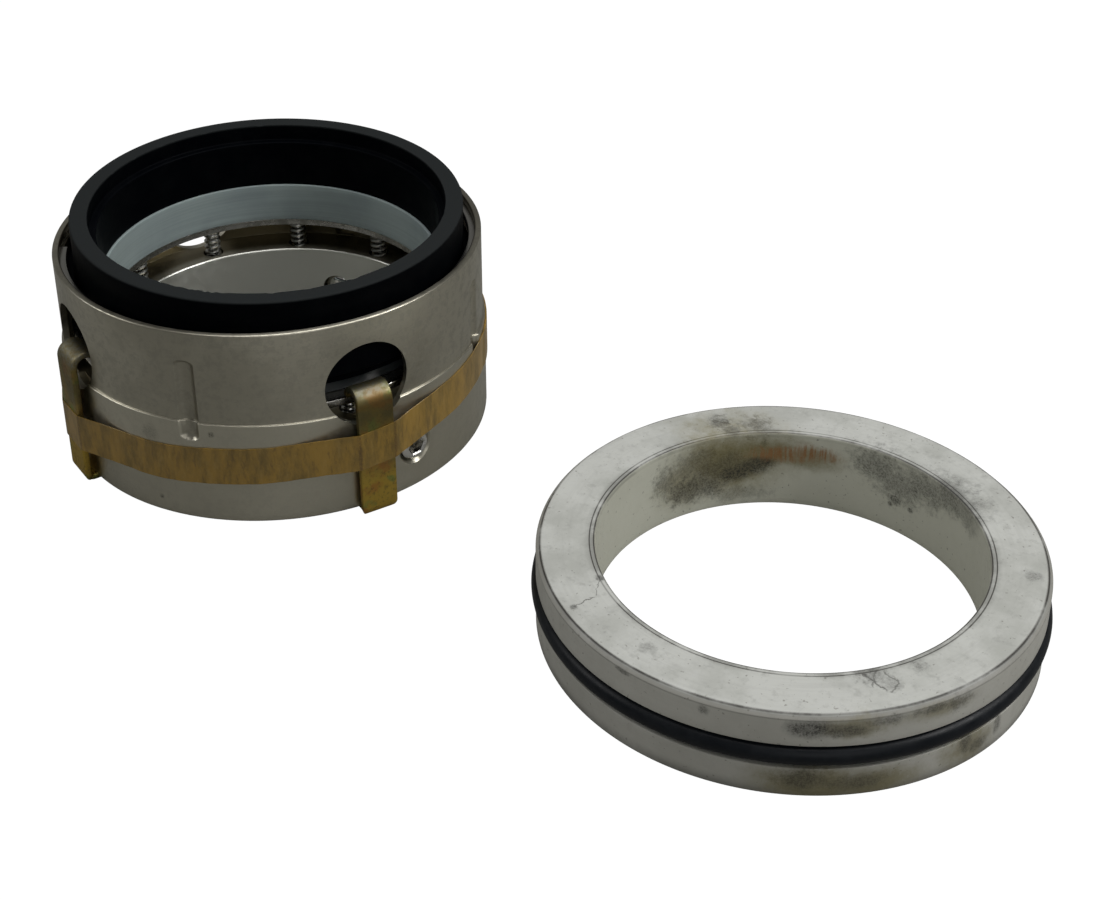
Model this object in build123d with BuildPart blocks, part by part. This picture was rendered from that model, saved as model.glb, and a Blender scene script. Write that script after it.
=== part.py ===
from build123d import *
from math import atan2, cos, degrees, hypot, radians, sin, sqrt, tan
import os

# Component mechanical seal for a 2 1/2 in shaft: a multi-spring rotary head and its seat.
# Millimetres. The origin is the centre of the retainer's back face, +Z points to the sealing
# faces, and the seat stands beside the head along +X. Angles are about +Z from +X.

# ---- shaft ----
shaft_diameter = 63.5

# ---- retainer ----
bore_clearance = 0.25  # radial, between the shaft and the retainer's bore
stack_room = 7.6  # radial, from the retainer's bore to the inside of its shell
shell_wall = 1.25
collar_step = 0.4  # how far the collar stands out beyond the shell
deck_height = 18.1  # top of the thick collar, where the spring pockets open
collar_rise = 2.6  # from the deck up to the collar's outer edge
shell_rise = 21.0  # from the deck up to the rim
bore_edge_chamfer = 0.4
base_edge_chamfer = 0.5
rim_edge_chamfer = 0.25

window_count = 4
window_diameter = 16.4
window_rise = 7.7  # from the deck up to a window's centre
first_window_deg = 67.0

dent_count = 4
dent_radius = 2.4
dent_depth = 0.95  # below the shell's outside
dent_drop = 1.4  # from the deck down to a dent's foot
dent_rise = 15.2  # from the deck up to a dent's top
first_dent_deg = 20.5

# ---- springs and their pockets ----
spring_count = 12
spring_diameter = 3.5
first_spring_deg = 5.0
pocket_clearance = 0.35  # radial, round a spring
pocket_depth = 12.1
pocket_web = 1.1  # between a pocket and the retainer's bore
spring_seat_gap = 0.1

# ---- set screws ----
screw_count = 3
first_screw_deg = 110.0
screw_height = 9.0
screw_diameter = 6.2
screw_hole_clearance = 0.06
countersink_diameter = 8.0
screw_tip_setback = 0.2  # behind the bore wall, so that the shaft passes
screw_stand_out = 0.45  # beyond the collar's outside
screw_edge_chamfer = 0.7
hex_across_flats = 3.2
hex_depth = 3.6

# ---- snap ring in the mouth of the shell ----
mouth_lip = 1.5  # from the rim down to the ring
snap_ring_thickness = 1.2
snap_ring_reach = 1.3  # how far it stands in from the shell's bore
snap_groove_depth = 0.65
snap_groove_clearance = 0.08
snap_gap_deg = 9.0
snap_gap_at_deg = 217.0

# ---- face stack: disc, wedge and primary ring, which stand a little askew ----
stack_tilt_deg = 2.2
stack_low_side_deg = 333.0
stack_pivot_rise = 5.6  # from the disc's underside up to the point it leans about
disc_lift = 4.4  # from the deck up to the disc's underside
disc_thickness = 1.5
disc_shaft_clearance = 0.55
disc_shell_clearance = 0.8
wedge_shaft_clearance = 0.2
wedge_flange_height = 2.2
wedge_flange_width = 4.05
wedge_height = 8.2
wedge_tip_wall = 0.55
wedge_cone_clearance = 0.1
primary_back_gap = 0.6  # from the wedge's flange to the primary ring's back
primary_height = 18.5
primary_shaft_clearance = 0.75
counterbore_step = 1.35
counterbore_depth = 3.4
nose_edge_chamfer = 0.35
shoulder_shell_clearance = 0.6
shoulder_width = 1.8
shoulder_setback = 2.4  # from the primary ring's back
shoulder_height = 4.8
notch_clearance = 0.5

# ---- setting clips ----
clip_degs = [337.0, 250.0]
clip_gauge = 1.2
clip_width = 7.1
clip_stand_off = 1.0  # between the collar and the strip
clip_foot_reach = 4.5  # how far the foot runs in under the collar
clip_foot_bend = 0.9  # inside radius
clip_hook_bend = 1.75  # inside radius
clip_hook_gap = 0.05
clip_corner = 1.2

# ---- adhesive tape ----
tape_width = 7.8
tape_thickness = 0.15
tape_gap = 0.05
tape_mid_height = 13.2
tape_slope_deg = 3.6
tape_low_side_deg = 235.0

# ---- stationary seat ----
seat_apart = 31.65  # between the collar and the seat that stands beside it
seat_shaft_clearance = 1.1
seat_wall = 9.95
seat_thickness = 15.6
seat_face_chamfer = 0.7
seat_edge_chamfer = 0.3
seat_groove_middle = 7.65
seat_groove_width = 4.3
o_ring_cord = 3.53
o_ring_flats = 12  # sides that stand for the cord's round section
o_ring_stand_out = 0.78
o_ring_floor_gap = 0.05

# ---- sizes that follow ----
shaft_radius = shaft_diameter / 2
bore_radius = shaft_radius + bore_clearance
shell_bore_radius = bore_radius + stack_room
shell_radius = shell_bore_radius + shell_wall
collar_radius = shell_radius + collar_step
collar_height = deck_height + collar_rise
retainer_height = deck_height + shell_rise
window_height = deck_height + window_rise
window_radius = window_diameter / 2
dent_bottom = deck_height - dent_drop
dent_axis_radius = shell_radius - dent_depth + dent_radius
bump_radius = dent_radius + shell_wall
dent_cap_rise = sqrt(dent_radius**2 - (dent_radius - dent_depth) ** 2)
dent_straight_top = deck_height + dent_rise - dent_cap_rise
spring_radius = spring_diameter / 2
pocket_radius = spring_radius + pocket_clearance
pocket_floor = deck_height - pocket_depth
spring_circle_radius = bore_radius + pocket_web + pocket_radius
screw_hole_radius = screw_diameter / 2 + screw_hole_clearance
screw_tip_radius = bore_radius + screw_tip_setback
screw_head_radius = collar_radius + screw_stand_out
snap_ring_bottom = retainer_height - mouth_lip - snap_ring_thickness
snap_groove_radius = shell_bore_radius + snap_groove_depth
snap_groove_bottom = snap_ring_bottom - snap_groove_clearance
snap_groove_top = snap_ring_bottom + snap_ring_thickness + snap_groove_clearance
disc_bottom = deck_height + disc_lift
disc_outer_radius = shell_bore_radius - disc_shell_clearance
stack_pivot_height = disc_bottom + stack_pivot_rise
bench_height = -clip_gauge  # both halves stand on one level, the head on its clips

os.makedirs("parts", exist_ok=True)


def polar(radius, angle, height=0.0):
    """The point at a radius, an angle in degrees and a height."""
    return (radius * cos(radians(angle)), radius * sin(radians(angle)), height)


def facing_out(radius, angle, height):
    """The plane that faces away from the axis at a radius, angle and height."""
    return Plane(
        origin=polar(radius, angle, height),
        x_dir=(-sin(radians(angle)), cos(radians(angle)), 0),
        z_dir=polar(1, angle),
    )


def radial_section(angle):
    """The upright plane through the axis: local X runs outwards and local Y upwards."""
    return Plane(origin=(0, 0, 0), x_dir=polar(1, angle), z_dir=polar(1, angle - 90))


def angles_around(first, count):
    """Evenly spaced angles round the axis, from a first one."""
    return [first + 360 * index / count for index in range(count)]


window_degs = angles_around(first_window_deg, window_count)
dent_degs = angles_around(first_dent_deg, dent_count)
screw_degs = angles_around(first_screw_deg, screw_count)
spring_degs = angles_around(first_spring_deg, spring_count)

# The stack's own plane: its origin is on the head's axis, and its normal leans to the low side.
stack_normal = Vector(
    sin(radians(stack_tilt_deg)) * cos(radians(stack_low_side_deg)),
    sin(radians(stack_tilt_deg)) * sin(radians(stack_low_side_deg)),
    cos(radians(stack_tilt_deg)),
)
stack_x = (Vector(1, 0, 0) - stack_normal * stack_normal.X).normalized()
stack_plane = Plane(origin=(0, 0, stack_pivot_height), x_dir=stack_x, z_dir=stack_normal)
stack_section = Plane(
    origin=stack_plane.origin, x_dir=stack_plane.x_dir, z_dir=-stack_plane.y_dir
)
stack_axis = Axis(stack_plane.origin, stack_plane.z_dir)


def in_stack(height):
    """A height in the head turned into a height above the stack's pivot."""
    return height - stack_pivot_height


def disc_underside(point_x, point_y):
    """The height of the askew disc's underside above a point."""
    lean = stack_normal.X * point_x + stack_normal.Y * point_y
    return stack_pivot_height + (in_stack(disc_bottom) - lean) / stack_normal.Z


def disc_top_side(point_x, point_y):
    """The height of the askew disc's top above a point."""
    return disc_underside(point_x, point_y) + disc_thickness / stack_normal.Z


# ---- retainer: turned collar and shell, drilled, pocketed and dented ----
with BuildPart() as retainer:
    with BuildSketch(Plane.XZ):
        with BuildLine():
            Polyline(
                (bore_radius, 0),
                (collar_radius - base_edge_chamfer, 0),
                (collar_radius, base_edge_chamfer),
                (collar_radius, collar_height),
                (shell_radius, collar_height),
                (shell_radius, retainer_height - rim_edge_chamfer),
                (shell_radius - rim_edge_chamfer, retainer_height),
                (shell_bore_radius + rim_edge_chamfer, retainer_height),
                (shell_bore_radius, retainer_height - rim_edge_chamfer),
                (shell_bore_radius, snap_groove_top),
                (snap_groove_radius, snap_groove_top),
                (snap_groove_radius, snap_groove_bottom),
                (shell_bore_radius, snap_groove_bottom),
                (shell_bore_radius, deck_height),
                (bore_radius + bore_edge_chamfer, deck_height),
                (bore_radius, deck_height - bore_edge_chamfer),
                close=True,
            )
        make_face()
    revolve(axis=Axis.Z)

    # the dents' inner bumps: the shell's wall carried round each dent
    for dent_deg in dent_degs:
        with BuildSketch(Plane.XY.offset(deck_height)):
            with Locations(polar(dent_axis_radius, dent_deg)):
                Circle(bump_radius)
            Circle(shell_bore_radius + shell_wall / 2, mode=Mode.INTERSECT)
        extrude(amount=dent_straight_top - deck_height)
    # the dents themselves, round-ended at the top and square at the bottom
    for dent_deg in dent_degs:
        with BuildSketch(Plane.XY.offset(dent_bottom)):
            with Locations(polar(dent_axis_radius, dent_deg)):
                Circle(dent_radius)
        extrude(amount=dent_straight_top - dent_bottom, mode=Mode.SUBTRACT)
        with Locations(polar(dent_axis_radius, dent_deg, dent_straight_top)):
            Sphere(dent_radius, mode=Mode.SUBTRACT)

    # spring pockets in the collar's top
    with Locations(Plane.XY.offset(deck_height)):
        with PolarLocations(spring_circle_radius, spring_count, start_angle=first_spring_deg):
            Hole(pocket_radius, depth=pocket_depth)

    # windows drilled in from outside, just short of the face stack
    window_start = shell_bore_radius - shell_wall
    for window_deg in window_degs:
        with BuildSketch(facing_out(window_start, window_deg, window_height)):
            Circle(window_radius)
        extrude(amount=collar_radius - window_start + 1, mode=Mode.SUBTRACT)

    # tapped set-screw holes, countersunk outside
    for screw_deg in screw_degs:
        with Locations(facing_out(collar_radius, screw_deg, screw_height)):
            CounterSinkHole(
                screw_hole_radius, countersink_diameter / 2, depth=collar_radius - bore_radius + 1
            )

retainer.part.label = "retainer"
export_step(retainer.part, "parts/retainer.step")

# ---- snap ring: square wire, split, sprung into the groove ----
with BuildPart() as snap_ring:
    with BuildSketch(Plane.XY.offset(snap_ring_bottom)):
        Circle(snap_groove_radius - snap_groove_clearance)
        Circle(shell_bore_radius - snap_ring_reach, mode=Mode.SUBTRACT)
        with BuildLine():
            Polyline(
                (0, 0),
                polar(2 * collar_radius, snap_gap_at_deg - snap_gap_deg / 2),
                polar(2 * collar_radius, snap_gap_at_deg + snap_gap_deg / 2),
                close=True,
            )
        make_face(mode=Mode.SUBTRACT)
    extrude(amount=snap_ring_thickness)

snap_ring.part.label = "snap_ring"
export_step(snap_ring.part, "parts/snap_ring.step")

# ---- disc: thrust washer on the springs, notched for the dents ----
notch_radius = bump_radius + notch_clearance

with BuildPart() as disc:
    with BuildSketch(stack_plane.offset(in_stack(disc_bottom))):
        Circle(disc_outer_radius)
        Circle(shaft_radius + disc_shaft_clearance, mode=Mode.SUBTRACT)
        for dent_deg in dent_degs:
            with Locations(polar(dent_axis_radius, dent_deg)):
                Circle(notch_radius, mode=Mode.SUBTRACT)
    extrude(amount=disc_thickness)

disc.part.label = "disc"
export_step(disc.part, "parts/disc.step")

# ---- wedge: PTFE ring with a straight bore, a flange on the disc and a tapered nose ----
wedge_bottom = in_stack(disc_bottom) + disc_thickness
wedge_top = wedge_bottom + wedge_height
wedge_bore_radius = shaft_radius + wedge_shaft_clearance
wedge_flange_radius = wedge_bore_radius + wedge_flange_width
wedge_tip_radius = wedge_bore_radius + wedge_tip_wall

with BuildPart() as wedge:
    with BuildSketch(stack_section):
        with BuildLine():
            Polyline(
                (wedge_bore_radius, wedge_bottom),
                (wedge_flange_radius, wedge_bottom),
                (wedge_flange_radius, wedge_bottom + wedge_flange_height),
                (wedge_tip_radius, wedge_top),
                (wedge_bore_radius, wedge_top),
                close=True,
            )
        make_face()
    revolve(axis=stack_axis)

wedge.part.label = "wedge"
export_step(wedge.part, "parts/wedge.step")

# ---- primary ring: carbon, with nose, counterbore, shoulder, notches and wedge seat ----
primary_bottom = wedge_bottom + wedge_flange_height + primary_back_gap
nose_top = primary_bottom + primary_height
ledge_height = nose_top - counterbore_depth
primary_bore_radius = shaft_radius + primary_shaft_clearance
counterbore_radius = primary_bore_radius + counterbore_step
shoulder_radius = shell_bore_radius - shoulder_shell_clearance
nose_radius = shoulder_radius - shoulder_width
shoulder_low = primary_bottom + shoulder_setback
shoulder_high = shoulder_low + shoulder_height
# the conical seat runs parallel to the wedge's taper, a small gap outside it
cone_slope = (wedge_flange_radius - wedge_tip_radius) / (wedge_height - wedge_flange_height)
cone_offset = wedge_cone_clearance * hypot(1, cone_slope)


def seat_cone_radius(height):
    """The radius of the primary ring's conical seat at a height above the pivot."""
    return wedge_tip_radius + (wedge_top - height) * cone_slope + cone_offset


cone_end = wedge_top - (primary_bore_radius - wedge_tip_radius - cone_offset) / cone_slope

with BuildPart() as primary_ring:
    with BuildSketch(stack_section):
        with BuildLine():
            Polyline(
                (seat_cone_radius(primary_bottom), primary_bottom),
                (nose_radius, primary_bottom),
                (nose_radius, shoulder_low),
                (shoulder_radius, shoulder_low),
                (shoulder_radius, shoulder_high),
                (nose_radius, shoulder_high),
                (nose_radius, nose_top - nose_edge_chamfer),
                (nose_radius - nose_edge_chamfer, nose_top),
                (counterbore_radius, nose_top),
                (counterbore_radius, ledge_height),
                (primary_bore_radius, ledge_height),
                (primary_bore_radius, cone_end),
                close=True,
            )
        make_face()
    revolve(axis=stack_axis)
    with BuildSketch(stack_plane.offset(shoulder_low)):
        for dent_deg in dent_degs:
            with Locations(polar(dent_axis_radius, dent_deg)):
                Circle(notch_radius)
    extrude(amount=shoulder_height, mode=Mode.SUBTRACT)

primary_ring.part.label = "primary_ring"
export_step(primary_ring.part, "parts/primary_ring.step")

# ---- springs: each stands in its pocket and carries the disc ----
# A spring's solid is the cylinder that its turns fill.
spring_tilt_loss = spring_radius * tan(radians(stack_tilt_deg))

for index, spring_deg in enumerate(spring_degs, start=1):
    spring_x, spring_y, _ = polar(spring_circle_radius, spring_deg)
    spring_top = disc_underside(spring_x, spring_y) - spring_tilt_loss - spring_seat_gap
    with BuildPart() as spring:
        with BuildSketch(Plane.XY.offset(pocket_floor)):
            with Locations((spring_x, spring_y)):
                Circle(spring_radius)
        extrude(amount=spring_top - pocket_floor)
    spring.part.label = f"spring_{index:02d}"
    export_step(spring.part, f"parts/spring_{index:02d}.step")

# ---- set screws: hexagon socket, oval point, in line with the collar's tapped holes ----
screw_length = screw_head_radius - screw_tip_radius
screw_point_radius = screw_diameter / 2 - screw_edge_chamfer

for index, screw_deg in enumerate(screw_degs, start=1):
    head_plane = facing_out(screw_head_radius, screw_deg, screw_height)
    tip_plane = facing_out(screw_tip_radius, screw_deg, screw_height)
    with BuildPart() as set_screw:
        with BuildSketch(tip_plane):
            Circle(screw_diameter / 2)
        extrude(amount=screw_length)
        screw_ends = set_screw.edges().filter_by(GeomType.CIRCLE)
        chamfer(screw_ends, length=screw_edge_chamfer)
        with BuildSketch(head_plane):
            RegularPolygon(hex_across_flats / 2, 6, major_radius=False)
        extrude(amount=-hex_depth, mode=Mode.SUBTRACT)
    set_screw.part.label = f"set_screw_{index}"
    export_step(set_screw.part, f"parts/set_screw_{index}.step")

# ---- setting clips: bent strip, a foot under the collar and a hook on the disc ----
strip_inside = collar_radius + clip_stand_off
strip_middle = strip_inside + clip_gauge / 2
foot_line = -clip_gauge / 2
foot_bend_radius = clip_foot_bend + clip_gauge / 2
hook_bend_radius = clip_hook_bend + clip_gauge / 2
hook_centre_radius = strip_middle - hook_bend_radius
hook_end_radius = hook_centre_radius - hook_bend_radius
foot_end_radius = collar_radius - clip_foot_reach

for index, clip_deg in enumerate(clip_degs, start=1):
    hook_corners = [
        polar(
            hypot(radius, clip_width / 2),
            clip_deg + side * degrees(atan2(clip_width / 2, radius)),
        )
        for radius in (hook_end_radius - clip_gauge / 2, hook_end_radius + clip_gauge / 2)
        for side in (-1, 1)
    ]
    hook_end = max(disc_top_side(x, y) for x, y, _ in hook_corners) + clip_hook_gap
    with BuildPart() as setting_clip:
        with BuildSketch(radial_section(clip_deg)):
            with BuildLine():
                foot = Line((foot_end_radius, foot_line), (strip_middle - foot_bend_radius, foot_line))
                heel = TangentArc(
                    foot @ 1, (strip_middle, foot_line + foot_bend_radius), tangent=foot % 1
                )
                strip = Line(heel @ 1, (strip_middle, hook_end))
                TangentArc(strip @ 1, (hook_end_radius, hook_end), tangent=strip % 1)
            trace(line_width=clip_gauge)
        extrude(amount=clip_width / 2, both=True)
        foot_end = setting_clip.faces().filter_by(
            lambda face: abs(face.normal_at().dot(Vector(*polar(1, clip_deg))) + 1) < 0.01
        )
        foot_corners = foot_end.sort_by(Axis.Z)[0].edges().filter_by(Axis.Z)
        fillet(foot_corners, radius=clip_corner)
    setting_clip.part.label = f"setting_clip_{index}"
    export_step(setting_clip.part, f"parts/setting_clip_{index}.step")

# ---- tape: a taut band round the collar, the clips and the screw ends, wound a little askew ----
tape_inside = collar_radius + tape_gap
tape_outside = tape_inside + tape_thickness
clip_outside = strip_inside + clip_gauge + tape_gap + tape_thickness
screw_outside = screw_head_radius + tape_gap + tape_thickness
tape_lean = Vector(
    sin(radians(tape_slope_deg)) * cos(radians(tape_low_side_deg)),
    sin(radians(tape_slope_deg)) * sin(radians(tape_low_side_deg)),
    cos(radians(tape_slope_deg)),
)
tape_plane = Plane(origin=(0, 0, tape_mid_height), z_dir=tape_lean)

with BuildPart() as tape:
    with BuildSketch(Plane.XY):
        Circle(tape_outside)
        for clip_deg in clip_degs:
            with Locations(Location((0, 0, 0), (0, 0, clip_deg))):
                Rectangle(clip_outside, clip_width, align=(Align.MIN, Align.CENTER))
        for screw_deg in screw_degs:
            with Locations(Location((0, 0, 0), (0, 0, screw_deg))):
                Rectangle(screw_outside, 2 * screw_point_radius, align=(Align.MIN, Align.CENTER))
        make_hull()
        offset(amount=-tape_thickness, mode=Mode.SUBTRACT)
    extrude(amount=retainer_height)
    split(bisect_by=tape_plane.offset(tape_width / 2), keep=Keep.BOTTOM)
    split(bisect_by=tape_plane.offset(-tape_width / 2), keep=Keep.TOP)

tape.part.label = "tape"
export_step(tape.part, "parts/tape.step")

# ---- seat ring: lapped face up, with the O-ring's groove round it ----
seat_bore_radius = shaft_radius + seat_shaft_clearance
seat_radius = seat_bore_radius + seat_wall
seat_distance = collar_radius + seat_apart + seat_radius
groove_floor_radius = seat_radius + o_ring_stand_out - o_ring_cord - o_ring_floor_gap
seat_plane = Plane(origin=(seat_distance, 0, bench_height), x_dir=(1, 0, 0), z_dir=(0, 0, 1))
seat_section = Plane(origin=seat_plane.origin, x_dir=(1, 0, 0), z_dir=(0, -1, 0))
seat_axis = Axis(seat_plane.origin, seat_plane.z_dir)
groove_low = seat_groove_middle - seat_groove_width / 2
groove_high = seat_groove_middle + seat_groove_width / 2

with BuildPart() as seat_ring:
    with BuildSketch(seat_section):
        with BuildLine():
            Polyline(
                (seat_bore_radius + seat_edge_chamfer, 0),
                (seat_radius - seat_edge_chamfer, 0),
                (seat_radius, seat_edge_chamfer),
                (seat_radius, groove_low),
                (groove_floor_radius, groove_low),
                (groove_floor_radius, groove_high),
                (seat_radius, groove_high),
                (seat_radius, seat_thickness - seat_face_chamfer),
                (seat_radius - seat_face_chamfer, seat_thickness),
                (seat_bore_radius + seat_edge_chamfer, seat_thickness),
                (seat_bore_radius, seat_thickness - seat_edge_chamfer),
                (seat_bore_radius, seat_edge_chamfer),
                close=True,
            )
        make_face()
    revolve(axis=seat_axis)

seat_ring.part.label = "seat_ring"
export_step(seat_ring.part, "parts/seat_ring.step")

# ---- seat O-ring ----
with BuildPart() as seat_o_ring:
    with BuildSketch(seat_section):
        with Locations((seat_radius + o_ring_stand_out - o_ring_cord / 2, seat_groove_middle)):
            RegularPolygon(o_ring_cord / 2, o_ring_flats)
    revolve(axis=seat_axis)

seat_o_ring.part.label = "seat_o_ring"
export_step(seat_o_ring.part, "parts/seat_o_ring.step")
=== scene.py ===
import math

import bmesh
import bpy
import numpy as np
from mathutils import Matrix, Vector


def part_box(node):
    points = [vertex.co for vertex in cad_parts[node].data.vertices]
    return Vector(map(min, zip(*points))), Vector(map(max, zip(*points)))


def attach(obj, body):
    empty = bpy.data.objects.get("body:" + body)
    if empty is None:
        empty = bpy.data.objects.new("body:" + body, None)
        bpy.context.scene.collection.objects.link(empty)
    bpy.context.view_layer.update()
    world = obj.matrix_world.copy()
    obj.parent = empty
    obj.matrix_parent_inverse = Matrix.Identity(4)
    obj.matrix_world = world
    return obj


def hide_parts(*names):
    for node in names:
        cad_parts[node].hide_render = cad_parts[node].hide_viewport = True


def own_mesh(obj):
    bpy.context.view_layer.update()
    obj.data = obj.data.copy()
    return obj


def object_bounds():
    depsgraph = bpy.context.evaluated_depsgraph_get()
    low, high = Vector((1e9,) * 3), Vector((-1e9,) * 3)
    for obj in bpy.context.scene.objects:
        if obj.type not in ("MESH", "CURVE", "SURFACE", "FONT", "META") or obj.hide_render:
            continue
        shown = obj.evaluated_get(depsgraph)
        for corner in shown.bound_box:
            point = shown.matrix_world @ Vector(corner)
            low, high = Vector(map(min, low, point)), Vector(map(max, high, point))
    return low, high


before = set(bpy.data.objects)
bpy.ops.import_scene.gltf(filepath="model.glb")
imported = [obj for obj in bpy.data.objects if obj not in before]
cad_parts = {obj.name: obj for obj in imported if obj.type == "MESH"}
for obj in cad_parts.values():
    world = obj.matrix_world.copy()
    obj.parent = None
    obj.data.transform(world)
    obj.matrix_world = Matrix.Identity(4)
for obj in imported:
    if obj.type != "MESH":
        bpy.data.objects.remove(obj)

cad_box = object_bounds()

# ---- Retainer ----
# The body of the rotary head: a thick collar that locks to the shaft and a thin shell that
# carries the face ring. It is turned in one piece from stainless bar, then drilled for springs,
# windows and set screws, and its shell is pressed in at four places to drive the face ring.

mm = 0.001
retainer_low, retainer_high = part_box("retainer")
collar_radius = (retainer_high.x - retainer_low.x) / 2
retainer_height = retainer_high.z
collar_step = 0.4 * mm
shell_wall = 1.25 * mm
stack_room = 7.6 * mm
shell_radius = collar_radius - collar_step
shell_bore_radius = shell_radius - shell_wall
bore_radius = shell_bore_radius - stack_room
deck_height = retainer_height - 21.0 * mm
collar_height = deck_height + 2.6 * mm
snap_groove_radius = shell_bore_radius + 0.65 * mm
snap_groove_low = retainer_height - 2.78 * mm
snap_groove_high = retainer_height - 1.42 * mm
window_degs = (67.0, 157.0, 247.0, 337.0)
window_radius = 8.2 * mm
window_height = deck_height + 7.7 * mm
dent_degs = (20.5, 110.5, 200.5, 290.5)
dent_radius = 2.4 * mm
dent_axis_radius = shell_radius - 0.95 * mm + dent_radius
dent_foot = deck_height - 1.4 * mm
dent_cap = deck_height + 14.2 * mm
dent_cup = dent_foot + 1.3 * mm
dent_softness = 0.25 * mm
pocket_radius = 2.1 * mm
pocket_floor = deck_height - 12.1 * mm
spring_circle_radius = bore_radius + 3.2 * mm
spring_degs = tuple(5.0 + 30.0 * step for step in range(12))
screw_degs = (110.0, 230.0, 350.0)
screw_height = 9.0 * mm
screw_hole_radius = 3.16 * mm
countersink_radius = 4.0 * mm


def rounded_outline(corners, rounds, steps=4):
    """A closed outline with its corners rounded: each corner gives way to an arc that touches
    both of its sides, at a distance along them of the round times the tangent of half the turn."""
    corner = np.asarray(corners, float)
    size = np.broadcast_to(np.asarray(rounds, float), len(corner))
    before = np.roll(corner, 1, 0) - corner
    after = np.roll(corner, -1, 0) - corner
    before /= np.linalg.norm(before, axis=1, keepdims=True)
    after /= np.linalg.norm(after, axis=1, keepdims=True)
    half = np.arccos(np.clip((before * after).sum(1), -1, 1)) / 2
    middle = before + after
    middle /= np.linalg.norm(middle, axis=1, keepdims=True)
    centre = corner + middle * (size / np.sin(half))[:, None]
    side = np.sign(before[:, 0] * after[:, 1] - before[:, 1] * after[:, 0])
    sweep = np.linspace(1, -1, steps + 1)[None] * (math.pi / 2 - half)[:, None] * side[:, None]
    turn = np.stack([np.cos(sweep), np.sin(sweep)], -1)
    x = -middle[:, None, 0] * turn[..., 0] + middle[:, None, 1] * turn[..., 1]
    y = -middle[:, None, 1] * turn[..., 0] - middle[:, None, 0] * turn[..., 1]
    arcs = centre[:, None] + np.stack([x, y], -1) * size[:, None, None]
    return arcs.reshape(-1, 2)


def filled_outline(corners, rounds, spacing, steps=4):
    """A closed outline with rounded corners, and with extra points so that no side is longer than
    the spacing."""
    outline = rounded_outline(corners, rounds, steps)
    closed = np.vstack([outline, outline[:1]])
    run = np.linalg.norm(np.diff(closed, axis=0), axis=1)
    place = np.concatenate([[0], np.cumsum(run)])
    pieces = np.maximum(np.ceil(run / spacing).astype(int), 1)
    start = np.repeat(place[:-1], pieces)
    step = np.repeat(run / pieces, pieces)
    count = np.arange(pieces.sum()) - np.repeat(np.cumsum(pieces) - pieces, pieces)
    along = start + step * count
    return np.stack([np.interp(along, place, closed[:, 0]), np.interp(along, place, closed[:, 1])], -1)


def swept(radius, height, angle):
    """Points round an axis: a radius at an angle gives x and y, and the height gives z."""
    return np.stack([radius * np.cos(angle), radius * np.sin(angle), height * np.ones_like(angle)], -1)


def turning(outline, angles):
    """The radius, height and angle grids of an outline turned through a list of angles."""
    shape = (len(outline), len(angles))
    return (
        np.broadcast_to(outline[:, :1], shape),
        np.broadcast_to(outline[:, 1:], shape),
        np.broadcast_to(angles, shape),
    )


def apart(angle, deg):
    """How far each angle lies from a direction in degrees, from minus to plus half a turn."""
    return (angle - math.radians(deg) + math.pi) % (2 * math.pi) - math.pi


def angles_with(step_deg, near, count):
    """Angles round the axis at even steps, with a finer run of them about each dent, in order."""
    fine = [np.radians(deg) + np.linspace(-near, near, count) for deg in dent_degs]
    every = np.radians(np.arange(0, 360, step_deg))
    return np.unique(np.round(np.concatenate([every, *fine]) % (2 * math.pi), 5))


def linked(name, data):
    """A new object with its data, linked to the scene."""
    item = bpy.data.objects.new(name, data)
    bpy.context.scene.collection.objects.link(item)
    return item


def settled(mesh, sharp_deg=40.0):
    """The mesh with doubles merged, its faces turned outwards and its creases marked by angle."""
    work = bmesh.new()
    work.from_mesh(mesh)
    bmesh.ops.remove_doubles(work, verts=work.verts, dist=1e-7)
    bmesh.ops.dissolve_degenerate(work, edges=work.edges, dist=1e-8)
    bmesh.ops.recalc_face_normals(work, faces=work.faces)
    work.to_mesh(mesh)
    work.free()
    mesh.polygons.foreach_set("use_smooth", np.ones(len(mesh.polygons), bool))
    mesh.set_sharp_from_angle(angle=math.radians(sharp_deg))
    mesh.update()
    return mesh


def grid_mesh(name, points, wrap_rows=True, wrap_columns=True):
    """A mesh from a grid of points: each cell is one quad, and the last row or column joins the
    first where the grid wraps. Coinciding points at poles are merged, and creases stay sharp."""
    rows, columns = points.shape[:2]
    index = np.arange(rows * columns).reshape(rows, columns)
    row = np.arange(rows if wrap_rows else rows - 1)
    column = np.arange(columns if wrap_columns else columns - 1)
    here, there = index[row], index[(row + 1) % rows]
    right = (column + 1) % columns
    quads = np.stack([here[:, column], there[:, column], there[:, right], here[:, right]], -1)
    mesh = bpy.data.meshes.new(name)
    mesh.from_pydata(points.reshape(-1, 3), [], quads.reshape(-1, 4))
    return settled(mesh)


def shown(name, mesh, material, body, slot, *nodes):
    """Puts a finished mesh in the scene, on its body, in place of its CAD nodes."""
    piece = linked(name, mesh)
    mesh.materials.clear()
    mesh.materials.append(material)
    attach(piece, body)
    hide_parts(*nodes)
    return piece


def cut_by(mesh, cutter):
    """The mesh with the space of a second one taken out of it."""
    blank, tool = linked("blank", mesh), linked("tool", cutter)
    cut = blank.modifiers.new("cut", "BOOLEAN")
    cut.operation = "DIFFERENCE"
    cut.solver = "MANIFOLD"
    cut.object = tool
    result = bpy.data.meshes.new_from_object(blank.evaluated_get(bpy.context.evaluated_depsgraph_get()))
    for item in (blank, tool):
        bpy.data.objects.remove(item)
    return settled(result, 32.0)


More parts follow.
